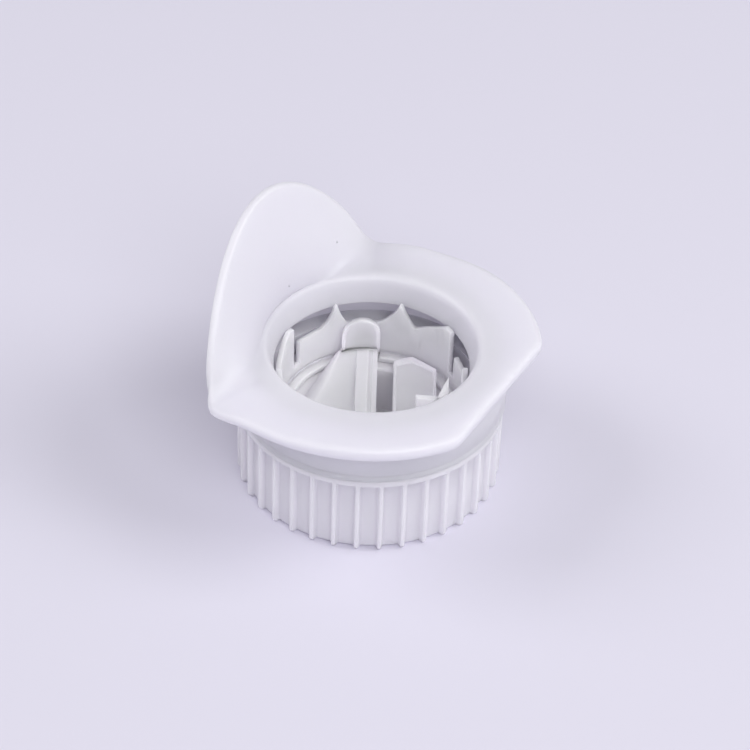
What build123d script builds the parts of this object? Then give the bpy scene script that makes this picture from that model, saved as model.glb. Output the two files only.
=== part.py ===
from build123d import *
from math import cos, radians, sin
import os

os.makedirs("parts", exist_ok=True)

# Pour spout that snaps on the neck of a spirits bottle. Millimetres and degrees.
# The origin is on the spout's axis, in the plane of the collar's foot.
# +Z runs up through the pouring bore and +X points towards the pouring lip.

# Ribbed collar
collar_radius = 16.3
collar_wall = 1.4
collar_height = 11.6
rib_count = 36
rib_width = 0.6
rib_height = 0.7
band_height = 1.0
foot_chamfer = 0.4
bead_height = 0.3
bead_width = 1.6
bead_level = 1.4
web_depth = 2.3
web_thickness = 0.8

# Pour lip: neck, brim, bore and raised lip
neck_proud = 0.2
neck_wall = 1.2
neck_height = 8.75
spigot_wall = 0.9
spigot_step = 1.0
brim_radius = 21.6
brim_thickness = 1.8
brim_flat_x = 18.4
brim_shoulder_y = 21.0
brim_corner_round = 3.0
bore_radius = 13.4
bore_ring_wall = 1.0
bore_ring_depth = 3.9
bore_ring_taper = 1.0
lip_height = 16.4
lip_half_width = 19.9
lip_wall = 1.0
lip_belly_height = 5.3
lip_belly_reach = 1.8
lip_rim_reach = 3.75

# Vane cage: a crown of pointed vanes under the bore
cage_wall = 0.7
vane_count = 9
vane_reach = 0.8
vane_length = 3.3
vane_gap_floor = 1.4
vane_tip_width = 0.3
vane_turn = -115.5
cage_slot_width = 1.4
cage_slot_count = 3
cage_slot_turn = -123.5
cage_foot_thickness = 0.8

# Wire guard: leaves that bridge the passage over the valve, and an upright tongue
guard_turn = -151.0
guard_ring_wall = 1.2
guard_leaf_thickness = 0.8
guard_slot_left = 0.75
guard_slot_right = 2.85
right_leaf_width = 5.55
left_leaf_flare = 8.0
tongue_drop = 2.2
tongue_width = 5.0
tongue_offset = -1.5
tongue_thickness = 0.8

# Valve housing: the plug that enters the bottle, with the seat at its foot
plug_radius = 10.0
plug_wall = 1.2
plug_length = 7.95
flange_thickness = 0.75
flange_gap = 0.5
gasket_neck_relief = 0.2
seat_thickness = 1.0
seat_overlap = 1.6
guide_count = 6
guide_thickness = 0.8
guide_reach = 2.0
guide_height = 5.0

# Neck gasket
gasket_thickness = 0.65

# Float valve and ball
valve_thickness = 1.2
valve_hub_depth = 0.7
valve_travel = 1.5
cup_wall = 1.0
cup_height = 1.2
ball_radius = 2.2
ball_travel = 0.8

# Fits
fixed_clearance = 0.05
ring_clearance = 0.1
guide_clearance = 0.2
hub_clearance = 0.4

# Radii that follow from the sizes above
rib_tip_radius = collar_radius + rib_height
collar_bore_radius = collar_radius - collar_wall
neck_radius = rib_tip_radius + neck_proud
spigot_radius = collar_bore_radius - fixed_clearance
spigot_bore_radius = spigot_radius - spigot_wall
bore_mouth_radius = bore_radius - bore_ring_taper
cage_radius = bore_mouth_radius - guide_clearance
cage_bore_radius = cage_radius - cage_wall
cage_foot_radius = spigot_bore_radius - guide_clearance
web_hole_radius = cage_bore_radius - fixed_clearance
guard_radius = web_hole_radius - fixed_clearance
guard_bore_radius = guard_radius - guard_ring_wall
leaf_radius = guard_radius - ring_clearance
flange_radius = collar_bore_radius - flange_gap
plug_bore_radius = plug_radius - plug_wall
valve_radius = plug_bore_radius - guide_reach - guide_clearance
seat_hole_radius = valve_radius - seat_overlap
valve_hub_radius = seat_hole_radius - hub_clearance
cup_bore_radius = ball_radius + guide_clearance

# Levels that follow from the sizes above
rib_top = collar_height - band_height
web_top = collar_height - web_depth
web_bottom = web_top - web_thickness
spout_bottom = collar_height + fixed_clearance
brim_top = spout_bottom + neck_height
brim_bottom = brim_top - brim_thickness
bore_ring_bottom = brim_top - bore_ring_depth
cage_bottom = web_top + fixed_clearance
cage_foot_top = cage_bottom + cage_foot_thickness
vane_tip = bore_ring_bottom + vane_reach
vane_root = vane_tip - vane_length
flange_top = web_bottom - fixed_clearance
flange_bottom = flange_top - flange_thickness
gasket_top = flange_bottom - fixed_clearance
gasket_bottom = gasket_top - gasket_thickness
plug_bottom = flange_top - plug_length
seat_top = plug_bottom + seat_thickness
valve_bottom = seat_top + fixed_clearance
valve_top = valve_bottom + valve_thickness
ball_bottom = valve_top + fixed_clearance
ball_highest = ball_bottom + 2 * ball_radius + valve_travel + ball_travel
leaf_bottom = ball_highest + guide_clearance
leaf_top = leaf_bottom + guard_leaf_thickness
tongue_top = vane_tip - tongue_drop


def upright_plane(turn):
    """A plane through the axis whose normal points outwards at this turn and whose y is up."""
    outward = (cos(radians(turn)), sin(radians(turn)), 0)
    sideways = (-sin(radians(turn)), cos(radians(turn)), 0)
    return Plane(origin=(0, 0, 0), x_dir=sideways, z_dir=outward)


def write(builder, name):
    """Label a finished piece and write its STEP file."""
    builder.part.label = name
    export_step(builder.part, f"parts/{name}.step")


# Ribbed collar: the outer sleeve that grips the bottle, with a web that carries the insides
with BuildPart() as ribbed_collar:
    with BuildSketch(Plane.XZ):
        with BuildLine():
            Polyline(
                (collar_bore_radius, 0),
                (collar_radius - foot_chamfer, 0),
                (collar_radius, foot_chamfer),
                (collar_radius, rib_top),
                (rib_tip_radius, rib_top),
                (rib_tip_radius, collar_height),
                (collar_bore_radius, collar_height),
                (collar_bore_radius, web_top),
                (web_hole_radius, web_top),
                (web_hole_radius, web_bottom),
                (collar_bore_radius, web_bottom),
                (collar_bore_radius, bead_level + bead_width / 2),
                (collar_bore_radius - bead_height, bead_level),
                (collar_bore_radius, bead_level - bead_width / 2),
                close=True,
            )
        make_face()
    revolve(axis=Axis.Z)
    with BuildSketch():
        with PolarLocations(collar_radius, rib_count, start_angle=180 / rib_count):
            Rectangle(2 * rib_height, rib_width)
    extrude(amount=rib_top)
write(ribbed_collar, "ribbed_collar")

# Raised lip: a scooped sheet, straight from side to side, with an arched rim
with BuildPart() as raised_lip:
    with BuildSketch(Plane.XZ):
        with BuildLine():
            scoop = Spline(
                (bore_radius, brim_bottom),
                (bore_radius + lip_belly_reach, brim_top + lip_belly_height),
                (bore_radius + lip_rim_reach - lip_wall, brim_top + lip_height),
                tangents=((1, 1), (0.1, 1)),
            )
            back = Spline(
                (bore_radius + 1.5 * lip_wall, brim_bottom),
                (bore_radius + lip_belly_reach + lip_wall, brim_top + lip_belly_height),
                (bore_radius + lip_rim_reach, brim_top + lip_height),
                tangents=((1, 1), (0.1, 1)),
            )
            Line(scoop @ 1, back @ 1)
            Line(scoop @ 0, back @ 0)
        make_face()
    extrude(amount=lip_half_width, both=True)
    with BuildSketch(Plane.YZ):
        with BuildLine():
            Bezier(
                (-lip_half_width, brim_top),
                (0, brim_top + 2 * lip_height),
                (lip_half_width, brim_top),
            )
            Polyline(
                (lip_half_width, brim_top),
                (lip_half_width, brim_bottom),
                (-lip_half_width, brim_bottom),
                (-lip_half_width, brim_top),
            )
        make_face()
    extrude(amount=2 * brim_radius, mode=Mode.INTERSECT)

# Pour lip: neck, bore ring and brim, in one moulding with the raised lip
with BuildPart() as pour_lip:
    with BuildSketch(Plane.XZ):
        with BuildLine():
            Polyline(
                (spigot_bore_radius, cage_bottom),
                (spigot_radius, cage_bottom),
                (spigot_radius, spout_bottom),
                (neck_radius, spout_bottom),
                (neck_radius, brim_top),
                (bore_radius, brim_top),
                (bore_mouth_radius, bore_ring_bottom),
                (bore_mouth_radius + bore_ring_wall, bore_ring_bottom),
                (bore_radius + bore_ring_wall, brim_bottom),
                (neck_radius - neck_wall, brim_bottom),
                (neck_radius - neck_wall, spout_bottom + spigot_step),
                (spigot_bore_radius, spout_bottom + spigot_step),
                close=True,
            )
        make_face()
    revolve(axis=Axis.Z)
    lip_side_x = bore_radius + lip_wall
    with BuildSketch(Plane.XY.offset(brim_bottom)):
        Circle(brim_radius)
        with Locations((lip_side_x / 2, 0)):
            RectangleRounded(lip_side_x + lip_wall, 2 * brim_shoulder_y, brim_corner_round)
        with Locations((-brim_flat_x, 0)):
            Rectangle(
                2 * brim_radius,
                4 * brim_radius,
                align=(Align.MAX, Align.CENTER),
                mode=Mode.SUBTRACT,
            )
        with Locations((lip_side_x, 0)):
            Rectangle(
                2 * brim_radius,
                4 * brim_radius,
                align=(Align.MIN, Align.CENTER),
                mode=Mode.SUBTRACT,
            )
        Circle(bore_radius + bore_ring_wall / 2, mode=Mode.SUBTRACT)
    extrude(amount=brim_thickness)
    add(raised_lip.part)
    with BuildSketch(Plane.XY.offset(brim_bottom)):
        Circle(bore_radius)
    extrude(amount=lip_height, mode=Mode.SUBTRACT)
write(pour_lip, "pour_lip")

# Vane cage: crown of pointed vanes, standing on the web and reaching up into the bore ring
with BuildPart() as vane_cage:
    with BuildSketch(Plane.XZ):
        with BuildLine():
            Polyline(
                (cage_bore_radius, cage_bottom),
                (cage_foot_radius, cage_bottom),
                (cage_foot_radius, cage_foot_top),
                (cage_radius, cage_foot_top),
                (cage_radius, vane_tip),
                (cage_bore_radius, vane_tip),
                close=True,
            )
        make_face()
    revolve(axis=Axis.Z)
    vane_half_pitch = cage_radius * sin(radians(180 / vane_count))
    for vane in range(vane_count):
        with BuildSketch(upright_plane(vane_turn + (vane + 0.5) * 360 / vane_count)):
            with BuildLine():
                Polyline(
                    (-vane_gap_floor / 2, vane_root),
                    (vane_gap_floor / 2, vane_root),
                    (vane_half_pitch - vane_tip_width / 2, vane_tip + fixed_clearance),
                    (vane_tip_width / 2 - vane_half_pitch, vane_tip + fixed_clearance),
                    close=True,
                )
            make_face()
        extrude(amount=cage_foot_radius, mode=Mode.SUBTRACT)
    for slot in range(cage_slot_count):
        with BuildSketch(upright_plane(cage_slot_turn + slot * 360 / cage_slot_count)):
            with Locations((0, cage_foot_top)):
                Rectangle(cage_slot_width, vane_tip, align=(Align.CENTER, Align.MIN))
        extrude(amount=cage_foot_radius, mode=Mode.SUBTRACT)
write(vane_cage, "vane_cage")

# Wire guard: ring with two leaves on feet and an upright tongue, which keeps a wire off the valve
guard_plane = Plane(
    origin=(0, 0, 0), x_dir=(cos(radians(guard_turn)), sin(radians(guard_turn)), 0)
)
guard_upright = Plane(origin=(0, 0, 0), x_dir=guard_plane.x_dir, z_dir=-guard_plane.y_dir)
right_leaf_x = guard_slot_right + right_leaf_width / 2
tongue_radius = tongue_width / 2
with BuildPart() as wire_guard:
    with BuildSketch(guard_plane.offset(web_bottom)):
        Circle(guard_radius)
        Circle(guard_bore_radius, mode=Mode.SUBTRACT)
    extrude(amount=web_thickness)
    with BuildSketch(guard_plane.offset(leaf_bottom)) as leaves:
        with BuildLine():
            Polyline(
                (tongue_offset - tongue_radius - left_leaf_flare, -leaf_radius),
                (tongue_offset - tongue_radius, leaf_radius),
                (guard_slot_left, leaf_radius),
                (guard_slot_left, -leaf_radius),
                close=True,
            )
        make_face()
        with Locations((right_leaf_x, 0)):
            Rectangle(right_leaf_width, 2 * leaf_radius)
        Circle(leaf_radius, mode=Mode.INTERSECT)
    extrude(amount=guard_leaf_thickness)
    with BuildSketch(guard_plane.offset(web_top)):
        Circle(leaf_radius)
        Circle(guard_bore_radius, mode=Mode.SUBTRACT)
        with Locations((tongue_offset, 0), (right_leaf_x, 0)):
            Rectangle(tongue_width, 2 * leaf_radius, mode=Mode.INTERSECT)
    extrude(amount=leaf_top - web_top)
    with BuildSketch(guard_plane.offset(web_top)):
        Circle(leaf_radius)
        Circle(leaf_radius - tongue_thickness, mode=Mode.SUBTRACT)
        with Locations((tongue_offset, leaf_radius)):
            Rectangle(tongue_width, leaf_radius, mode=Mode.INTERSECT)
    extrude(amount=tongue_top - web_top)
    with BuildSketch(guard_upright):
        with Locations((tongue_offset, tongue_top - tongue_radius)):
            Rectangle(2 * tongue_width, tongue_width, align=(Align.CENTER, Align.MIN))
            Circle(tongue_radius, mode=Mode.SUBTRACT)
    extrude(amount=-2 * leaf_radius, mode=Mode.SUBTRACT)
write(wire_guard, "wire_guard")

# Valve housing: plug with a flange that hangs under the web
with BuildPart() as valve_housing:
    with BuildSketch(Plane.XZ):
        with BuildLine():
            Polyline(
                (seat_hole_radius, plug_bottom),
                (plug_radius, plug_bottom),
                (plug_radius, gasket_bottom - ring_clearance),
                (plug_radius - gasket_neck_relief, gasket_bottom - ring_clearance),
                (plug_radius - gasket_neck_relief, flange_bottom),
                (flange_radius, flange_bottom),
                (flange_radius, flange_top),
                (plug_bore_radius, flange_top),
                (plug_bore_radius, seat_top),
                (seat_hole_radius, seat_top),
                close=True,
            )
        make_face()
    revolve(axis=Axis.Z)
    with BuildSketch(Plane.XY.offset(seat_top)):
        with PolarLocations(plug_bore_radius - guide_reach / 2, guide_count):
            Rectangle(guide_reach + plug_wall / 2, guide_thickness)
        Circle(valve_radius + guide_clearance, mode=Mode.SUBTRACT)
        Circle(plug_bore_radius + plug_wall / 2, mode=Mode.INTERSECT)
    extrude(amount=guide_height)
write(valve_housing, "valve_housing")

# Neck gasket: soft washer between the housing's flange and the bottle's rim
with BuildPart() as neck_gasket:
    with BuildSketch(Plane.XY.offset(gasket_bottom)):
        Circle(flange_radius)
        Circle(plug_radius - gasket_neck_relief + fixed_clearance, mode=Mode.SUBTRACT)
    extrude(amount=gasket_thickness)
write(neck_gasket, "neck_gasket")

# Float valve: disc that lifts off the seat when the bottle is tipped, with a cup for the ball
with BuildPart() as float_valve:
    with BuildSketch(Plane.XY.offset(valve_bottom - valve_hub_depth)):
        Circle(valve_hub_radius)
    extrude(amount=valve_hub_depth)
    with BuildSketch(Plane.XY.offset(valve_bottom)):
        Circle(valve_radius)
    extrude(amount=valve_thickness)
    with BuildSketch(Plane.XY.offset(valve_top)):
        Circle(cup_bore_radius + cup_wall)
        Circle(cup_bore_radius, mode=Mode.SUBTRACT)
    extrude(amount=cup_height)
write(float_valve, "float_valve")

# Valve ball: glass ball whose weight shuts the valve
with BuildPart() as valve_ball:
    with Locations((0, 0, ball_bottom + ball_radius)):
        Sphere(ball_radius)
write(valve_ball, "valve_ball")
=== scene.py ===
import bmesh
import bpy
from math import atan2, ceil, cos, degrees, exp, pi, radians, sin, sqrt
from mathutils import Matrix, Vector


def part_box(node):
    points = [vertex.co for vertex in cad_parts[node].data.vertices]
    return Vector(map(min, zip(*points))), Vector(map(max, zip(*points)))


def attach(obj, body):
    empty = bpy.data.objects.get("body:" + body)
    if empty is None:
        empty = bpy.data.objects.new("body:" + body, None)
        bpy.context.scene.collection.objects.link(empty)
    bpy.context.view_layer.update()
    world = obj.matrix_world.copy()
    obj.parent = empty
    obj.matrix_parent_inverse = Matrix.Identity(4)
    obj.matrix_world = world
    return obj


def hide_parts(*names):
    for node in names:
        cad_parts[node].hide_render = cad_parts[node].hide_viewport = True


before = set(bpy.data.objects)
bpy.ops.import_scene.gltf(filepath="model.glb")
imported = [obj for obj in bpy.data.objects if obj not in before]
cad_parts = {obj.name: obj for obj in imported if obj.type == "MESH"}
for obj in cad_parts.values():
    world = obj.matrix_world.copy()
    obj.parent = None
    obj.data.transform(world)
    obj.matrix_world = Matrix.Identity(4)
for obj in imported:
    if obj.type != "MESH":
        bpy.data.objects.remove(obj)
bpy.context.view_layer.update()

# Ribbed collar: the white polypropylene sleeve that snaps over the bottle's ring.
# It is moulded with thirty-six thin grip ribs under a plain band, a bead inside its mouth
# and a flat web that carries the valve.
mm = 0.001
_, collar_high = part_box("ribbed_collar")
rib_tip_radius = collar_high.x
collar_top = collar_high.z
rib_height = 0.7 * mm
rib_half_width = 0.3 * mm
rib_fillet = 0.22 * mm
wall_radius = rib_tip_radius - rib_height
collar_bore_radius = wall_radius - 1.4 * mm
rib_top = collar_top - 1.0 * mm
web_top = collar_top - 2.3 * mm
web_bottom = web_top - 0.8 * mm
web_hole_radius = 11.45 * mm
rib_count = 36


def object_from(name, bm, material):
    """Close a bmesh into a named object with smooth faces, one material and outward normals."""
    bmesh.ops.remove_doubles(bm, verts=bm.verts, dist=1e-7)
    bmesh.ops.recalc_face_normals(bm, faces=bm.faces)
    for face in bm.faces:
        face.smooth = True
    mesh = bpy.data.meshes.new(name)
    bm.to_mesh(mesh)
    bm.free()
    mesh.materials.append(material)
    piece = bpy.data.objects.new(name, mesh)
    bpy.context.scene.collection.objects.link(piece)
    return piece


def keep_edges_crisp(piece, angle):
    """Smooth shading that stays crisp where two faces meet at more than this angle."""
    bm = bmesh.new()
    bm.from_mesh(piece.data)
    for edge in bm.edges:
        edge.smooth = not (edge.is_manifold and edge.calc_face_angle(0) > radians(angle))
    bm.to_mesh(piece.data)
    bm.free()


def verts_of(parts):
    """The vertices among what a bmesh operator made."""
    return [part for part in parts if isinstance(part, bmesh.types.BMVert)]


def edges_of(parts):
    """The edges among what a bmesh operator made."""
    return [part for part in parts if isinstance(part, bmesh.types.BMEdge)]


def faces_of(verts):
    """The faces that meet at these vertices, each once."""
    return list(dict.fromkeys(face for vert in verts for face in vert.link_faces))


def lathe(turns, rings):
    """A closed ring of wall: a circle is extruded from ring to ring and bridged back to the first.
    Each ring is a pair (radius, height), or a function of the turn that gives the pair."""
    bm = bmesh.new()
    circle = bmesh.ops.create_circle(bm, segments=len(turns), radius=1)["verts"]
    for vert, turn in zip(circle, turns):
        vert.co = (cos(turn), sin(turn), 0)

    def place(verts, ring):
        for vert in verts:
            turn = atan2(vert.co.y, vert.co.x) % (2 * pi)
            radius, height = ring(turn) if callable(ring) else ring
            vert.co = (radius * cos(turn), radius * sin(turn), height)

    place(circle, rings[0])
    first = edges = list(bm.edges)
    for ring in rings[1:]:
        grown = bmesh.ops.extrude_edge_only(bm, edges=edges)["geom"]
        edges = edges_of(grown)
        place(verts_of(grown), ring)
    bmesh.ops.bridge_loops(bm, edges=first + edges)
    return bm


def moulded_plastic(name, colour, roughness, scatter, depth, grain_scale, grain_strength):
    """Milky moulded plastic: light scatters inside it, and its skin is finely uneven."""
    material = bpy.data.materials.new(name)
    material.use_nodes = True
    nodes, links = material.node_tree.nodes, material.node_tree.links
    shader = nodes["Principled BSDF"]
    shader.subsurface_method = "RANDOM_WALK"
    shader.inputs["Subsurface Weight"].default_value = scatter
    shader.inputs["Subsurface Radius"].default_value = (1.0, 0.96, 1.0)
    shader.inputs["Subsurface Scale"].default_value = depth
    shader.inputs["IOR"].default_value = 1.5
    place = nodes.new("ShaderNodeTexCoord")
    cloud = nodes.new("ShaderNodeTexNoise")
    cloud.inputs["Scale"].default_value = 160
    cloud.inputs["Detail"].default_value = 3
    links.new(place.outputs["Object"], cloud.inputs["Vector"])
    tint = nodes.new("ShaderNodeMix")
    tint.data_type = "RGBA"
    tint.inputs["A"].default_value = (*[c * 0.985 for c in colour], 1)
    tint.inputs["B"].default_value = (*colour, 1)
    links.new(cloud.outputs["Fac"], tint.inputs["Factor"])
    links.new(tint.outputs["Result"], shader.inputs["Base Color"])
    sheen = nodes.new("ShaderNodeMapRange")
    sheen.inputs["To Min"].default_value = roughness - 0.05
    sheen.inputs["To Max"].default_value = roughness + 0.08
    links.new(cloud.outputs["Fac"], sheen.inputs["Value"])
    links.new(sheen.outputs["Result"], shader.inputs["Roughness"])
    grain = nodes.new("ShaderNodeTexNoise")
    grain.inputs["Scale"].default_value = grain_scale
    grain.inputs["Detail"].default_value = 4
    links.new(place.outputs["Object"], grain.inputs["Vector"])
    bump = nodes.new("ShaderNodeBump")
    bump.inputs["Strength"].default_value = grain_strength
    bump.inputs["Distance"].default_value = 0.05 * mm
    links.new(grain.outputs["Fac"], bump.inputs["Height"])
    links.new(bump.outputs["Normal"], shader.inputs["Normal"])
    return material


rib_pitch = 2 * pi / rib_count
# One rib's profile: distance across it, and the share of its height there.
rib_steps = [
    (-rib_half_width - rib_fillet, 0.0),
    (-rib_half_width - 0.4 * rib_fillet, 0.12),
    (-rib_half_width, 0.5),
    (-rib_half_width + 0.3 * rib_fillet, 0.9),
    (-rib_half_width + rib_fillet, 1.0),
    (rib_half_width - rib_fillet, 1.0),
    (rib_half_width - 0.3 * rib_fillet, 0.9),
    (rib_half_width, 0.5),
    (rib_half_width + 0.4 * rib_fillet, 0.12),
    (rib_half_width + rib_fillet, 0.0),
]
collar_turns = []
rib_share = {}
for rib in range(rib_count):
    middle = (rib + 0.5) * rib_pitch
    for offset, share in rib_steps:
        turn = middle + offset / wall_radius
        collar_turns.append(turn)
        rib_share[round(turn, 5)] = share
    for share in (0.3, 0.5, 0.7):
        collar_turns.append(middle + share * rib_pitch)
collar_turns = sorted(turn % (2 * pi) for turn in collar_turns)


def ribbed(offset, height, rise=rib_height):
    """A ring of the grip, this far outside the wall, that rises over each rib."""
    def ring(turn):
        return wall_radius + offset + rise * rib_share.get(round(turn, 5), 0.0), height
    return ring


collar_rings = [
    (collar_bore_radius, 0.35 * mm),
    (collar_bore_radius + 0.3 * mm, 0.0),
    ribbed(-0.55 * mm, 0.0),
    ribbed(-0.4 * mm, 0.05 * mm),
    ribbed(-0.1 * mm, 0.3 * mm),
    ribbed(0.0, 0.6 * mm),
    ribbed(0.0, 0.5 * rib_top),
    ribbed(0.0, rib_top - 0.25 * mm),
    ribbed(0.15 * mm, rib_top - 0.05 * mm, 0.55 * mm),
    ribbed(rib_height - 0.12 * mm, rib_top + 0.03 * mm, 0.12 * mm),
    (rib_tip_radius, rib_top + 0.15 * mm),
    (rib_tip_radius, collar_top - 0.2 * mm),
    (rib_tip_radius - 0.07 * mm, collar_top - 0.06 * mm),
    (rib_tip_radius - 0.2 * mm, collar_top),
    (collar_bore_radius + 0.1 * mm, collar_top),
    (collar_bore_radius, collar_top - 0.1 * mm),
    (collar_bore_radius, web_top),
    (web_hole_radius + 0.15 * mm, web_top),
    (web_hole_radius, web_top - 0.15 * mm),
    (web_hole_radius, web_bottom + 0.15 * mm),
    (web_hole_radius + 0.15 * mm, web_bottom),
    (collar_bore_radius - 0.25 * mm, web_bottom),
    (collar_bore_radius, web_bottom - 0.25 * mm),
    (collar_bore_radius, 2.4 * mm),
    (collar_bore_radius - 0.2 * mm, 1.9 * mm),
    (collar_bore_radius - 0.3 * mm, 1.4 * mm),
    (collar_bore_radius - 0.2 * mm, 0.9 * mm),
]
collar_plastic = moulded_plastic(
    "collar_plastic", (0.80, 0.785, 0.83), 0.38, 0.8, 0.002, 2600, 0.25
)
collar = object_from("ribbed_collar_skin", lathe(collar_turns, collar_rings), collar_plastic)
keep_edges_crisp(collar, 40)
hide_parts("ribbed_collar")
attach(collar, "spout")

# Valve housing: a cup of natural polypropylene, whose outside plugs the bottle's neck. Six guides
# stand inside it over the valve's seat, and its flange is welded under the collar's web.
housing_low, housing_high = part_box("valve_housing")
plug_radius = 10.0 * mm
plug_bore_radius = 8.8 * mm
plug_foot = housing_low.z
flange_radius = housing_high.x
flange_top = housing_high.z
flange_bottom = flange_top - 0.75 * mm
seat_top = plug_foot + 1.0 * mm
seat_hole_radius = 5.0 * mm
guide_inner_radius = 6.8 * mm
guide_width = 0.8 * mm
guide_top = seat_top + 5.0 * mm
round_turns = [2 * pi * station / 144 for station in range(144)]


def round_edges(bm, edges, offset):
    """A small rounding along these edges."""
    bmesh.ops.bevel(
        bm, geom=edges, offset=offset, segments=2, profile=0.5, affect="EDGES", material=-1
    )


def add_block(bm, near, far, width, turn, low, high, edge):
    """A small block that points outwards at this turn, with its edges slightly rounded."""
    made = bmesh.ops.create_cube(bm, size=1)["verts"]
    for vert in made:
        side = vert.co.copy()
        reach = near + (far - near) * (side.x + 0.5)
        across = width * side.y
        vert.co = (
            reach * cos(turn) - across * sin(turn),
            reach * sin(turn) + across * cos(turn),
            low + (high - low) * (side.z + 0.5),
        )
    edges = dict.fromkeys(side for vert in made for side in vert.link_edges)
    round_edges(bm, list(edges), edge)


housing_rings = [
    (seat_hole_radius, plug_foot + 0.12 * mm),
    (seat_hole_radius + 0.12 * mm, plug_foot),
    (plug_radius - 0.5 * mm, plug_foot),
    (plug_radius - 0.12 * mm, plug_foot + 0.4 * mm),
    (plug_radius, plug_foot + 0.9 * mm),
    (plug_radius, plug_foot + 3.0 * mm),
    (plug_radius - 0.08 * mm, plug_foot + 3.15 * mm),
    (plug_radius, plug_foot + 3.3 * mm),
    (plug_radius, plug_foot + 6.2 * mm),
    (plug_radius - 0.2 * mm, plug_foot + 6.4 * mm),
    (plug_radius - 0.2 * mm, flange_bottom),
    (flange_radius - 0.12 * mm, flange_bottom),
    (flange_radius, flange_bottom + 0.12 * mm),
    (flange_radius, flange_top - 0.12 * mm),
    (flange_radius - 0.12 * mm, flange_top),
    (plug_bore_radius + 0.2 * mm, flange_top),
    (plug_bore_radius, flange_top - 0.2 * mm),
    (plug_bore_radius, seat_top + 0.25 * mm),
    (plug_bore_radius - 0.25 * mm, seat_top),
    (seat_hole_radius + 0.12 * mm, seat_top),
    (seat_hole_radius, seat_top - 0.12 * mm),
]
housing_mesh = lathe(round_turns, housing_rings)
for guide in range(6):
    add_block(
        housing_mesh, guide_inner_radius, plug_bore_radius + 0.3 * mm, guide_width,
        guide * pi / 3, seat_top - 0.1 * mm, guide_top, 0.1 * mm,
    )
# The housing's colour is lighter than the lip's and collar's. It is partly the plastic's own white
# and partly painted light that offsets the shade deep in the neck.
housing_plastic = moulded_plastic(
    "housing_plastic", (0.98, 0.965, 0.995), 0.42, 0.9, 0.003, 2200, 0.3
)
housing = object_from("valve_housing_cup", housing_mesh, housing_plastic)
keep_edges_crisp(housing, 40)
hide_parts("valve_housing")
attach(housing, "spout")

# Neck gasket: a washer punched from soft foamed polyethylene sheet. It is pushed up over the
# plug and seals on the bottle's rim, so its faces are pitted and its cut edge is a little rough.
gasket_low, gasket_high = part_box("neck_gasket")
gasket_edge = 0.14 * mm
gasket_bore = plug_radius - 0.15 * mm
gasket_rings = [
    (gasket_bore, gasket_low.z + gasket_edge),
    (gasket_bore + gasket_edge, gasket_low.z),
    (gasket_high.x - gasket_edge, gasket_low.z),
    (gasket_high.x, gasket_low.z + gasket_edge),
    (gasket_high.x, gasket_high.z - gasket_edge),
    (gasket_high.x - gasket_edge, gasket_high.z),
    (gasket_bore + gasket_edge, gasket_high.z),
    (gasket_bore, gasket_high.z - gasket_edge),
]
foam = moulded_plastic("gasket_foam", (0.90, 0.89, 0.86), 0.8, 0.8, 0.002, 1500, 0.9)
gasket = object_from("neck_gasket_ring", lathe(round_turns, gasket_rings), foam)
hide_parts("neck_gasket")
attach(gasket, "spout")

# Float valve: a small disc of polypropylene with a hub below and a cup above. It lies loose on
# the seat, is guided by the housing's six guides, and lifts when the bottle is tipped.
valve_low, valve_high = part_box("float_valve")
valve_radius = valve_high.x
hub_radius = 4.6 * mm
disc_bottom = valve_low.z + 0.7 * mm
disc_top = disc_bottom + 1.2 * mm
cup_bore_radius = 2.4 * mm
cup_radius = cup_bore_radius + 1.0 * mm


def turned(turns, profile):
    """A solid turned about the axis: a capped circle is drawn out ring by ring and capped again."""
    bm = bmesh.new()
    circle = bmesh.ops.create_circle(bm, cap_ends=True, segments=len(turns), radius=1)["verts"]
    edges = list(bm.edges)
    radius, height = profile[0]
    for vert, turn in zip(circle, turns):
        vert.co = (radius * cos(turn), radius * sin(turn), height)
    for radius, height in profile[1:]:
        grown = bmesh.ops.extrude_edge_only(bm, edges=edges)["geom"]
        edges = edges_of(grown)
        for vert in verts_of(grown):
            turn = atan2(vert.co.y, vert.co.x)
            vert.co = (radius * cos(turn), radius * sin(turn), height)
    bmesh.ops.contextual_create(bm, geom=edges)
    return bm


valve_profile = [
    (hub_radius - 0.5 * mm, valve_low.z),
    (hub_radius - 0.15 * mm, valve_low.z + 0.05 * mm),
    (hub_radius, valve_low.z + 0.2 * mm),
    (hub_radius, disc_bottom),
    (valve_radius - 0.1 * mm, disc_bottom),
    (valve_radius, disc_bottom + 0.1 * mm),
    (valve_radius, disc_top - 0.1 * mm),
    (valve_radius - 0.1 * mm, disc_top),
    (cup_radius + 0.15 * mm, disc_top),
    (cup_radius, disc_top + 0.15 * mm),
    (cup_radius, valve_high.z - 0.1 * mm),
    (cup_radius - 0.1 * mm, valve_high.z),
    (cup_bore_radius + 0.1 * mm, valve_high.z),
    (cup_bore_radius, valve_high.z - 0.1 * mm),
    (cup_bore_radius, disc_top),
]
valve_plastic = moulded_plastic(
    "valve_plastic", (0.95, 0.94, 0.975), 0.35, 0.8, 0.003, 2400, 0.2
)
valve = object_from("float_valve_disc", turned(round_turns, valve_profile), valve_plastic)
keep_edges_crisp(valve, 40)
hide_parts("float_valve")
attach(valve, "valve")

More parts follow.
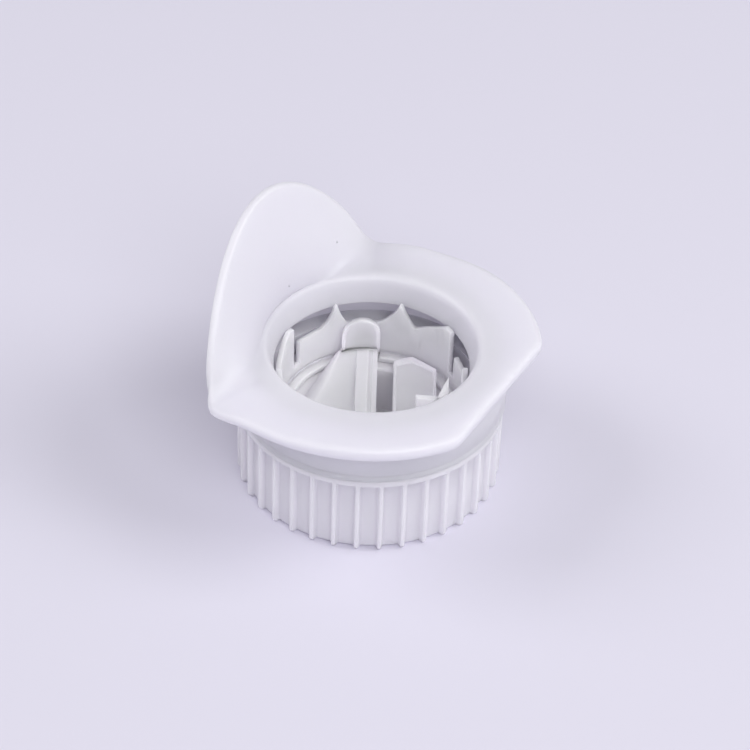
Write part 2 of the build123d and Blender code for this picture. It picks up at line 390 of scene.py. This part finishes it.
# Valve ball: a pressed and ground ball of soda glass, dropped into the valve's cup. Its weight
# shuts the valve when the bottle stands upright.
ball_low, ball_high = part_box("valve_ball")
bm = bmesh.new()
bmesh.ops.create_icosphere(
    bm,
    subdivisions=5,
    radius=(ball_high.z - ball_low.z) / 2,
    matrix=Matrix.Translation((0, 0, (ball_high.z + ball_low.z) / 2)),
)
ball_glass = bpy.data.materials.new("ball_glass")
ball_glass.use_nodes = True
glass_nodes, glass_links = ball_glass.node_tree.nodes, ball_glass.node_tree.links
glass_shader = glass_nodes["Principled BSDF"]
glass_shader.inputs["Base Color"].default_value = (0.80, 0.90, 0.87, 1)
glass_shader.inputs["Transmission Weight"].default_value = 0.9
glass_shader.inputs["IOR"].default_value = 1.52
glass_place = glass_nodes.new("ShaderNodeTexCoord")
scuffs = glass_nodes.new("ShaderNodeTexNoise")
scuffs.inputs["Scale"].default_value = 900
glass_links.new(glass_place.outputs["Object"], scuffs.inputs["Vector"])
scuff_range = glass_nodes.new("ShaderNodeMapRange")
scuff_range.inputs["To Min"].default_value = 0.03
scuff_range.inputs["To Max"].default_value = 0.16
glass_links.new(scuffs.outputs["Fac"], scuff_range.inputs["Value"])
glass_links.new(scuff_range.outputs["Result"], glass_shader.inputs["Roughness"])
ball = object_from("valve_ball_glass", bm, ball_glass)
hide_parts("valve_ball")
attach(ball, "ball")

# Vane cage: a thin crown of polypropylene that stands on the collar's web and reaches up into
# the bore. Its nine pointed vanes come in threes, with an open slot before each three.
cage_low, cage_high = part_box("vane_cage")
cage_foot_radius = cage_high.x
cage_radius = 12.2 * mm
cage_bore_radius = 11.5 * mm
cage_foot_top = cage_low.z + 0.8 * mm
vane_tip = cage_high.z
vane_root = vane_tip - 3.3 * mm
inside_turn = -151
# One third of the crown: turn in degrees, and how far the rim rises from root to tip there.
vane_rim = [
    (3.5, 0.94), (5.5, 0.97), (8.4, 1.0), (9.2, 0.99), (14.0, 0.80), (20.0, 0.58), (27.0, 0.34),
    (32.0, 0.15), (34.5, 0.08), (36.0, 0.12), (38.5, 0.32), (41.5, 0.62), (44.6, 1.0), (45.6, 1.0),
    (47.5, 0.70), (51.0, 0.40), (55.0, 0.15), (59.0, 0.02), (61.0, 0.0), (76.0, 0.0), (80.0, 0.08),
    (83.5, 0.50), (86.4, 1.0), (87.2, 1.0), (89.5, 0.62), (93.0, 0.28), (98.0, 0.06), (108.0, 0.0),
    (116.4, 0.05),
]
slot_floor = cage_foot_top + 0.5 * mm
slot_half_turn = 3.4
first_slot_turn = inside_turn + 27.5
widest_step = 2.6
rim_points = []
for (turn_a, rise_a), (turn_b, rise_b) in zip(vane_rim, vane_rim[1:]):
    steps = ceil((turn_b - turn_a) / widest_step)
    for step in range(steps):
        mix = step / steps
        rim_points.append((turn_a + (turn_b - turn_a) * mix, rise_a + (rise_b - rise_a) * mix))
rim_points.append(vane_rim[-1])
third_levels = [(-slot_half_turn, slot_floor), (slot_half_turn, slot_floor)]
third_levels += [(degree, vane_root + (vane_tip - vane_root) * rise) for degree, rise in rim_points]
vane_level = {}
for third in range(3):
    for degree, level in third_levels:
        vane_level[radians(first_slot_turn + 120 * third + degree) % (2 * pi)] = level
cage_turns = sorted(vane_level)


def crown(radius, below_rim=0.0, share=1.0):
    """A ring of the crown's wall, part of the way from the foot to the vanes' rim."""
    def ring(turn):
        level = vane_level[min(vane_level, key=lambda known: abs(known - turn))]
        bottom = cage_foot_top + 0.3 * mm
        return radius, bottom + (level - below_rim - bottom) * share
    return ring


cage_edge = 0.13 * mm
cage_rings = [
    (cage_bore_radius + 0.1 * mm, cage_low.z),
    (cage_foot_radius - cage_edge, cage_low.z),
    (cage_foot_radius, cage_low.z + cage_edge),
    (cage_foot_radius, cage_foot_top - cage_edge),
    (cage_foot_radius - cage_edge, cage_foot_top),
    (cage_radius + 0.3 * mm, cage_foot_top),
    (cage_radius + 0.09 * mm, cage_foot_top + 0.09 * mm),
    crown(cage_radius, share=0.0),
    crown(cage_radius, cage_edge, 0.5),
    crown(cage_radius, cage_edge),
    crown(cage_radius - 0.4 * cage_edge, 0.3 * cage_edge),
    crown(cage_radius - 1.2 * cage_edge),
    crown(cage_bore_radius + 1.2 * cage_edge),
    crown(cage_bore_radius + 0.4 * cage_edge, 0.3 * cage_edge),
    crown(cage_bore_radius, cage_edge),
    crown(cage_bore_radius, cage_edge, 0.5),
    crown(cage_bore_radius, share=0.0),
    (cage_bore_radius, cage_low.z + 0.1 * mm),
]
# The cage's colour, which the guard shares, is lighter and more lavender than the lip's. It is
# partly the plastic's own white and partly painted light that lightens the parts standing in the
# bore's shade.
cage_plastic = moulded_plastic("cage_plastic", (0.97, 0.945, 0.999), 0.3, 1.0, 0.004, 2400, 0.2)
cage = object_from("vane_cage_crown", lathe(cage_turns, cage_rings), cage_plastic)
keep_edges_crisp(cage, 34)
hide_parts("vane_cage")
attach(cage, "spout")

# Wire guard: a polypropylene moulding, whose ring snaps into the web's hole. Two leaves bridge
# the passage, with an upright tongue behind them and two small fins, so that no wire can reach
# the valve.
guard_low, guard_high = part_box("wire_guard")
ring_radius = 11.4 * mm
ring_bore_radius = 10.2 * mm
leaf_radius = 11.3 * mm
ring_bottom = guard_low.z
ring_top = ring_bottom + 0.8 * mm
leaf_bottom = 9.7 * mm
leaf_top = leaf_bottom + 0.8 * mm
slot_left = 0.75 * mm
slot_right = 2.85 * mm
leaf_edge_drop = 0.08 * mm


def add_leaf(bm, columns, rows, place, relief, top, bottom):
    """A leaf: a grid laid out by its columns and rows, sunk where relief says, then thickened."""
    across, along = len(columns) - 1, len(rows) - 1
    made = bmesh.ops.create_grid(bm, x_segments=across, y_segments=along, size=1)["verts"]
    for vert in made:
        column = columns[round((vert.co.x + 1) / 2 * across)]
        row = rows[round((vert.co.y + 1) / 2 * along)]
        x, y = place(column, row)
        vert.co = (x, y, top - relief(column, row))
    drawn = bmesh.ops.extrude_face_region(bm, geom=faces_of(made))["geom"]
    for vert in verts_of(drawn):
        vert.co.z = bottom


# Left leaf. Its sloped side takes the first columns, its sunk panel the next, its strip the rest.
left_leaf_back = 10.9 * mm
left_leaf_length = 21.6 * mm
left_leaf_flare = 0.421
slope_end = 0.1
panel_start = 0.14
strip_start = 0.6
strip_x = -2.0 * mm
slope_drop = 0.68 * mm
panel_drop = 0.10 * mm
panel_drop_at_strip = 0.40 * mm
groove_drop = 0.16 * mm


def left_leaf_place(column, row):
    """The left leaf spreads from the tongue towards the pouring side, inside the ring's circle."""
    y = left_leaf_back - left_leaf_length * row
    left = -4.5 * mm - left_leaf_flare * (10.6 * mm - y)
    left = max(left, -sqrt(leaf_radius ** 2 - y * y))
    slope_width = min(0.35 * mm + 0.16 * (left_leaf_back - y), 1.9 * mm)
    shoulder = min(left + slope_width, (left + strip_x) / 2)
    if column < slope_end:
        x = left + (shoulder - left) * column / slope_end
    elif column < strip_start:
        x = shoulder + (strip_x - shoulder) * (column - slope_end) / (strip_start - slope_end)
    else:
        x = strip_x + (slot_left - strip_x) * (column - strip_start) / (1 - strip_start)
    return x, y


def left_leaf_relief(column, row):
    """The left leaf's middle is sunk, beside a raised strip and a bright border along the slot."""
    if column < slope_end:
        return slope_drop * (1 - column / slope_end)
    inside_border = 0.035 <= row <= 0.97
    if inside_border and panel_start < column < strip_start:
        slant = (column - panel_start) / (strip_start - panel_start) * min(1, row * 4)
        return panel_drop + (panel_drop_at_strip - panel_drop) * slant
    if inside_border and 0.82 < column < 0.90:
        return groove_drop
    edge = min(1 - column, row) / 0.03
    return leaf_edge_drop * (1 - min(1, edge)) ** 2


# Right leaf. Its back edge is given as the share of its width and the distance from the axis.
right_leaf_width = 5.55 * mm
right_leaf_length = 17 * mm
right_leaf_back = [(0.0, 8.1 * mm), (0.26, 8.9 * mm), (0.44, 9.2 * mm), (1.0, 6.8 * mm)]
right_panel_drop = 0.25 * mm
right_edge_width = 0.15 * mm


def right_leaf_place(column, row):
    """The right leaf has a back edge with a soft peak, and ends on the ring's circle in front."""
    x = slot_right + right_leaf_width * column
    for (a, back_a), (b, back_b) in zip(right_leaf_back, right_leaf_back[1:]):
        if a <= column <= b:
            back = back_a + (back_b - back_a) * (column - a) / (b - a)
    front = -sqrt(leaf_radius ** 2 - x * x)
    return x, back + (front - back) * row


def right_leaf_relief(column, row):
    """The right leaf's middle is sunk inside a border of even width."""
    if 0.075 < column < 0.925 and 0.055 < row < 0.97:
        return right_panel_drop
    from_side = min(column, 1 - column) * right_leaf_width
    edge = min(from_side, row * right_leaf_length) / right_edge_width
    return leaf_edge_drop * (1 - min(1, edge)) ** 2


guard_mesh = lathe(round_turns, [
    (ring_bore_radius, ring_bottom + 0.1 * mm),
    (ring_bore_radius + 0.1 * mm, ring_bottom),
    (ring_radius - 0.1 * mm, ring_bottom),
    (ring_radius, ring_bottom + 0.1 * mm),
    (ring_radius, ring_top - 0.1 * mm),
    (ring_radius - 0.1 * mm, ring_top),
    (ring_bore_radius + 0.1 * mm, ring_top),
    (ring_bore_radius, ring_top - 0.1 * mm),
])
# The columns and rows are close together at each border, panel edge and groove.
leaf_rows = [
    0, 0.006, 0.014, 0.03, 0.04, 0.05, 0.06, 0.12, 0.2, 0.3, 0.4, 0.5, 0.6, 0.7, 0.8, 0.9, 0.965,
    0.975, 1,
]
left_columns = [
    0, 0.05, 0.1, 0.13, 0.15, 0.21, 0.28, 0.35, 0.42, 0.49, 0.56, 0.595, 0.605, 0.65, 0.81, 0.83,
    0.89, 0.91, 0.975, 0.99, 1,
]
right_columns = [0, 0.012, 0.03, 0.07, 0.08, 0.26, 0.44, 0.6, 0.75, 0.92, 0.93, 0.97, 0.988, 1]
for columns, place, relief in (
    (left_columns, left_leaf_place, left_leaf_relief),
    (right_columns, right_leaf_place, right_leaf_relief),
):
    add_leaf(guard_mesh, columns, leaf_rows, place, relief, leaf_top, leaf_bottom)

# Feet of the leaves, short arcs on the ring.
weld_overlap = 0.1 * mm
foot_circle = 11.0 * mm
foot_half_width = 2.5 * mm
foot_middle_radius = (ring_bore_radius + leaf_radius) / 2
foot_half_depth = (leaf_radius - ring_bore_radius) / 2
for foot_x, side in ((-1.5 * mm, 1), (-1.5 * mm, -1), (5.6 * mm, -1)):
    middle = atan2(side * sqrt(foot_circle ** 2 - foot_x ** 2), foot_x)
    half_turn = foot_half_width / foot_circle / abs(sin(middle))
    made = bmesh.ops.create_grid(guard_mesh, x_segments=8, y_segments=1, size=1)["verts"]
    for vert in made:
        turn = middle + half_turn * vert.co.x
        radius = foot_middle_radius + foot_half_depth * vert.co.y
        vert.co = (radius * cos(turn), radius * sin(turn), ring_top - weld_overlap)
    drawn = bmesh.ops.extrude_face_region(guard_mesh, geom=faces_of(made))["geom"]
    for vert in verts_of(drawn):
        vert.co.z = leaf_bottom + weld_overlap


def join_part(target, part):
    """Copies one small closed mesh into the piece's mesh."""
    carrier = bpy.data.meshes.new("carrier")
    part.to_mesh(carrier)
    part.free()
    target.from_mesh(carrier)
    bpy.data.meshes.remove(carrier)


# Tongue: a plate with a round top, a sunk panel inside a border, bent to the ring's circle.
tongue_x = -1.5 * mm
tongue_radius = 2.5 * mm
tongue_thickness = 0.8 * mm
tongue_border = 0.42 * mm
tongue_panel_drop = 0.16 * mm
tongue_bend_pitch = 0.8 * mm
arc_centre = guard_high.z - tongue_radius
outline = [(-tongue_radius, ring_top - weld_overlap), (tongue_radius, ring_top - weld_overlap)]
for step in range(25):
    swing = pi * step / 24
    outline.append((tongue_radius * cos(swing), arc_centre + tongue_radius * sin(swing)))
tongue_mesh = bmesh.new()
corners = [tongue_mesh.verts.new((tongue_x + x, 0, z)) for x, z in outline]
front_face = tongue_mesh.faces.new(corners)
drawn = bmesh.ops.extrude_face_region(tongue_mesh, geom=[front_face])["geom"]
for vert in verts_of(drawn):
    vert.co.y = -tongue_thickness
panel = [part for part in drawn if isinstance(part, bmesh.types.BMFace)]
bmesh.ops.recalc_face_normals(tongue_mesh, faces=tongue_mesh.faces)
rim_edges = list(panel[0].edges)
bmesh.ops.inset_region(tongue_mesh, faces=panel, thickness=tongue_border)
bmesh.ops.inset_region(tongue_mesh, faces=panel, thickness=0.10 * mm, depth=-tongue_panel_drop)
round_edges(tongue_mesh, rim_edges, 0.12 * mm)
for cut in range(-2, 3):
    bmesh.ops.bisect_plane(
        tongue_mesh,
        geom=tongue_mesh.verts[:] + tongue_mesh.edges[:] + tongue_mesh.faces[:],
        plane_co=(tongue_x + cut * tongue_bend_pitch, 0, 0),
        plane_no=(1, 0, 0),
    )
for vert in tongue_mesh.verts:
    vert.co.y += sqrt(leaf_radius ** 2 - vert.co.x ** 2)
join_part(guard_mesh, tongue_mesh)

# Fins: a three-sided gusset near the ring and an upright block on the right leaf. Each has its
# corners and its top in millimetres.
fin_foot = 9.2
for corners, top in (
    (((9.75, -2.6), (8.1, -7.35), (9.7, -6.0)), 17.1),
    (((5.6, -6.1), (5.8, -7.0), (8.6, -7.2), (8.3, -6.3)), 16.9),
):
    fin_mesh = bmesh.new()
    foot = fin_mesh.faces.new(
        [fin_mesh.verts.new((x * mm, y * mm, fin_foot * mm)) for x, y in corners]
    )
    drawn = bmesh.ops.extrude_face_region(fin_mesh, geom=[foot])["geom"]
    for vert in verts_of(drawn):
        vert.co.z = top * mm
    round_edges(fin_mesh, fin_mesh.edges[:], 0.1 * mm)
    join_part(guard_mesh, fin_mesh)

bmesh.ops.rotate(
    guard_mesh,
    verts=guard_mesh.verts,
    cent=(0, 0, 0),
    matrix=Matrix.Rotation(radians(inside_turn), 3, "Z"),
)
# The guard takes the cage's colour, with its painted light for the bore's shade.
guard = object_from("wire_guard_leaves", guard_mesh, cage_plastic)
keep_edges_crisp(guard, 34)
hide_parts("wire_guard")
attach(guard, "spout")

# Pour lip: the soft milky polyethylene spout. Brim, bore ring and raised lip are one moulding,
# about a millimetre thick, whose skirt pushes into the collar's top.
lip_low, lip_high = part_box("pour_lip")
neck_radius = 17.2 * mm
neck_foot = collar_top + 0.05 * mm
brim_top = 20.4 * mm
brim_flat = -lip_low.x
lip_height = lip_high.z - brim_top
# The rounded edge reaches a little past these two lengths where it is tilted.
brim_radius = lip_high.y - 0.18 * mm
lip_rim_x = neck_radius - 0.47 * mm
brim_corner_sharpness = 110
lip_corner_sharpness = 34
lip_half_width = 19.9 * mm
side_bow = 1.7 * mm / (12.3 * mm) ** 2
front_bend = 4.75 * mm / lip_half_width ** 2
lip_root_blend = 0.9 * mm
bore_radius = 13.4 * mm
bore_mouth_radius = 12.4 * mm
bore_rim_level = brim_top - 0.3 * mm
bore_ring_bottom = brim_top - 3.9 * mm
spigot_radius = 14.85 * mm
spigot_bore_radius = 13.95 * mm
skirt_bore_radius = 16.0 * mm
brim_wall = 1.7 * mm
rim_wall = 1.0 * mm
thinning_height = 3 * mm
knee_run = 1.8 * mm
knee_lean = 0.115
edge_squareness = 0.55
lip_stations = 240
# Droop of the brim where the lip runs out, by the turn from the lip in degrees.
droop_turn = 62
droop_spread = 9
droop_run = 20
droop_fade = 18
droop_peak = 1.2 * mm
droop_base = 0.9 * mm


def soft_least(values, sharpness):
    """The smallest of a few lengths, rounded where two of them are close."""
    least = min(values)
    return least * sum((value / least) ** -sharpness for value in values) ** (-1 / sharpness)


def rim(turn):
    """Radius and height over the brim of the rim's outermost point at this turn from the lip."""
    swing = abs((turn + pi) % (2 * pi) - pi)
    along, across = cos(swing), max(sin(swing), 1e-6)
    past = degrees(swing) - droop_turn
    fade = past / droop_spread if past < 0 else max(past - droop_run, 0) / droop_fade
    droop = (droop_peak * exp(-((past / droop_spread) ** 2)) + droop_base) * exp(-fade ** 2)
    if along <= 0:
        flat = brim_flat / max(-along, 0.3)
        return soft_least((brim_radius, flat), brim_corner_sharpness), -droop
    bow = side_bow * along ** 2
    side = 2 * brim_radius / (across + sqrt(across ** 2 + 4 * bow * brim_radius))
    bend = front_bend * across ** 2
    front = 2 * lip_rim_x / (along + sqrt(along ** 2 + 4 * bend * lip_rim_x))
    reach = soft_least((side, front), lip_corner_sharpness)
    arch = lip_height * (1 - (reach * across / lip_half_width) ** 2)
    height = max((arch + sqrt(arch ** 2 + lip_root_blend ** 2) - lip_root_blend) / 2, 0)
    return reach, height - droop


def section(turn):
    """The lip's cross-section at this turn: three points for its top curve, three for its under
    curve, and the centre, tangent and normal of its rounded edge, scaled to the edge's radius."""
    reach, height = rim(turn)
    up, down = max(height, 0.0), min(height, 0.0)
    share = up / (up + thinning_height)
    wall = brim_wall + (rim_wall - brim_wall) * share
    run = knee_lean * up + knee_run
    tangent = Vector((run, height)).normalized() * wall / 2
    normal = Vector((-tangent.y, tangent.x))
    tip = Vector((reach, brim_top + height - (1 - share) * wall / 2))
    centre = tip - tangent
    top_end = centre + normal
    top_foot = Vector((bore_radius + 0.55 * mm, bore_rim_level))
    top_knee = Vector((top_end.x - run, bore_rim_level + 0.15 * mm + 0.3 * down))
    under_level = brim_top - 1.85 * mm
    under_knee = Vector((
        top_knee.x + share * rim_wall, under_level + share * 1.6 * mm + 0.8 * down
    ))
    under_foot = Vector((neck_radius, under_level - 0.5 * mm + share * 1.9 * mm))
    top = top_foot, top_knee, top_end
    under = centre - normal, under_knee, under_foot
    return top, under, (centre, tangent, normal)


def curve(start, knee, end, share):
    """A point on the soft bend from start to end that is pulled towards its knee."""
    rest = 1 - share
    return start * rest * rest + knee * 2 * share * rest + end * share * share


section_at = {}


def lip_ring(part, share):
    """One ring of the lip, at the same share of the top curve, edge or under curve all round."""
    def ring(turn):
        key = round(turn, 6)
        if key not in section_at:
            section_at[key] = section(turn)
        top, under, (centre, tangent, normal) = section_at[key]
        if part == "top":
            point = curve(*top, share)
        elif part == "under":
            point = curve(*under, share)
        else:
            swing = pi * share
            over = abs(cos(swing)) ** edge_squareness * (1 if share < 0.5 else -1)
            point = centre + normal * over + tangent * abs(sin(swing)) ** edge_squareness
        return point.x, point.y
    return ring


lip_rings = [
    (bore_mouth_radius + 0.15 * mm, bore_ring_bottom),
    (bore_mouth_radius, bore_ring_bottom + 0.15 * mm),
    (bore_radius - 0.32 * mm, bore_rim_level - 1.1 * mm),
    (bore_radius - 0.12 * mm, bore_rim_level - 0.5 * mm),
    (bore_radius + 0.1 * mm, bore_rim_level - 0.16 * mm),
]
lip_rings += [lip_ring("top", step / 16) for step in range(17)]
lip_rings += [lip_ring("edge", step / 8) for step in range(1, 9)]
lip_rings += [lip_ring("under", step / 12) for step in range(1, 13)]
lip_rings += [
    (neck_radius, brim_top - 3.2 * mm),
    (neck_radius, brim_top - 5.4 * mm),
    (neck_radius, neck_foot + 1.25 * mm),
    (neck_radius - 0.12 * mm, neck_foot + 1.1 * mm),
    (neck_radius - 0.12 * mm, neck_foot + 0.85 * mm),
    (neck_radius, neck_foot + 0.7 * mm),
    (neck_radius, neck_foot + 0.2 * mm),
    (neck_radius - 0.2 * mm, neck_foot),
    (spigot_radius, neck_foot),
    (spigot_radius, web_top + 0.25 * mm),
    (spigot_radius - 0.2 * mm, web_top + 0.05 * mm),
    (spigot_bore_radius, web_top + 0.05 * mm),
    (spigot_bore_radius, neck_foot + 1.0 * mm),
    (skirt_bore_radius, neck_foot + 1.0 * mm),
    (skirt_bore_radius, brim_top - 2.2 * mm),
    (skirt_bore_radius - 0.6 * mm, brim_top - 1.6 * mm),
    (bore_radius + 1.2 * mm, brim_top - 1.8 * mm),
    (bore_radius + 0.9 * mm, brim_top - 2.2 * mm),
    (bore_mouth_radius + 0.9 * mm, bore_ring_bottom + 0.1 * mm),
]
lip_turns = [2 * pi * station / lip_stations for station in range(lip_stations)]
lip_mesh = lathe(lip_turns, lip_rings)
# Two pips that the mould leaves on the lip's face, in millimetres.
for pip in ((12.37, -11.94, 23.2), (13.44, -1.84, 22.16)):
    bmesh.ops.create_icosphere(
        lip_mesh, subdivisions=2, radius=0.09 * mm, matrix=Matrix.Translation(Vector(pip) * mm)
    )
lip_plastic = moulded_plastic("lip_plastic", (0.73, 0.72, 0.775), 0.38, 1.0, 0.004, 2000, 0.15)
pour_lip = object_from("pour_lip_skin", lip_mesh, lip_plastic)
keep_edges_crisp(pour_lip, 40)
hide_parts("pour_lip")
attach(pour_lip, "spout")

# Stand: a plain pale sheet under the spout, three soft boxes and a pale surround, and a camera
# that looks down on the spout from behind the brim's straight side.
floor_mesh = bpy.data.meshes.new("floor")
bm = bmesh.new()
bmesh.ops.create_grid(bm, x_segments=2, y_segments=2, size=2.0)
bm.to_mesh(floor_mesh)
bm.free()
floor_paint = bpy.data.materials.new("floor_paper")
floor_paint.use_nodes = True
floor_shader = floor_paint.node_tree.nodes["Principled BSDF"]
floor_shader.inputs["Base Color"].default_value = (0.70, 0.682, 0.77, 1)
floor_shader.inputs["Roughness"].default_value = 0.9
floor_mesh.materials.append(floor_paint)
floor = bpy.data.objects.new("floor", floor_mesh)
bpy.context.scene.collection.objects.link(floor)

view_turn = Matrix.Rotation(radians(-151), 4, "Z")
elevation = radians(41.42)
roll = radians(2.10)
eye_distance = 0.350
eye = view_turn @ Vector((0, -cos(elevation) * eye_distance, sin(elevation) * eye_distance))
aim = view_turn @ Vector((0.471 * mm, 0, 14.685 * mm))
camera_data = bpy.data.cameras.new("camera")
camera_data.sensor_width = 36
camera_data.lens = 128.8
camera_data.clip_start = 0.01
camera = bpy.data.objects.new("camera", camera_data)
bpy.context.scene.collection.objects.link(camera)
forward = (aim - eye).normalized()
level = forward.cross(Vector((0, 0, 1))).normalized()
upright = level.cross(forward)
right = level * cos(roll) + upright * sin(roll)
up = upright * cos(roll) - level * sin(roll)
camera.matrix_world = Matrix.Translation(eye) @ Matrix((right, up, -forward)).transposed().to_4x4()
bpy.context.scene.camera = camera


def soft_light(name, turn, height, distance, size, power, colour):
    """A square soft box that faces the spout from this turn round from the camera."""
    lamp = bpy.data.lights.new(name, "AREA")
    lamp.shape = "SQUARE"
    lamp.size = size
    lamp.energy = power
    lamp.color = colour
    holder = bpy.data.objects.new(name, lamp)
    bpy.context.scene.collection.objects.link(holder)
    turn, height = radians(turn), radians(height)
    away = Vector((sin(turn) * cos(height), -cos(turn) * cos(height), sin(height)))
    spot = view_turn @ (away * distance)
    facing = (-spot).to_track_quat("-Z", "Y").to_matrix().to_4x4()
    holder.matrix_world = Matrix.Translation(spot) @ facing


soft_light("box_right", 86, 44, 1.2, 0.65, 6.0, (1.0, 1.0, 1.0))
soft_light("box_left", -98, 44, 1.2, 0.65, 4.3, (0.98, 0.97, 1.0))
soft_light("box_front", 14, 46, 1.3, 0.8, 7.5, (1.0, 1.0, 1.0))
world = bpy.data.worlds.new("studio")
world.use_nodes = True
world.node_tree.nodes["Background"].inputs["Color"].default_value = (0.93, 0.92, 1.0, 1)
world.node_tree.nodes["Background"].inputs["Strength"].default_value = 0.34
bpy.context.scene.world = world
bpy.context.scene.view_settings.view_transform = "Standard"
bpy.context.scene.cycles.diffuse_bounces = 10
